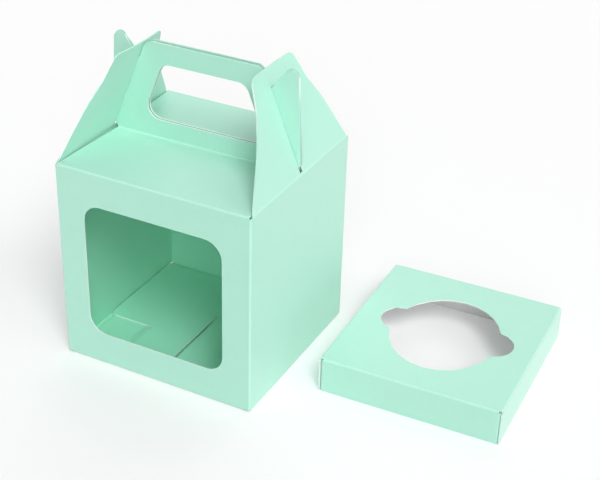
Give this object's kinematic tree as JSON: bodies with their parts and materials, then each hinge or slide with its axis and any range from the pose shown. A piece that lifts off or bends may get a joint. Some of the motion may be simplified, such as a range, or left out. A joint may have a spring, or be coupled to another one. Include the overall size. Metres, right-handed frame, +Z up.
{
  "type": "cupcake box with insert",
  "caption": "Folded card gable box for one cupcake, with a front window, a carrying handle and a snap-lock bottom, and a loose card insert with a round hole beside it.",
  "frame": {"origin": "middle of the carton's underside, on the surface that it stands on", "axes": "+Z up, -Y out of the window wall, +X to the right along the handle, towards the insert"},
  "size_m": [0.1863, 0.1153, 0.1344],
  "materials": {
    "carton_card": "mint green folding card, matte, coloured on both sides, paler cut edges",
    "insert_card": "mint green folding card, matte, white on the reverse"
  },
  "bodies": {
    "root": {"carton": "carton_card", "insert": "insert_card"}
  },
  "joints": []
}
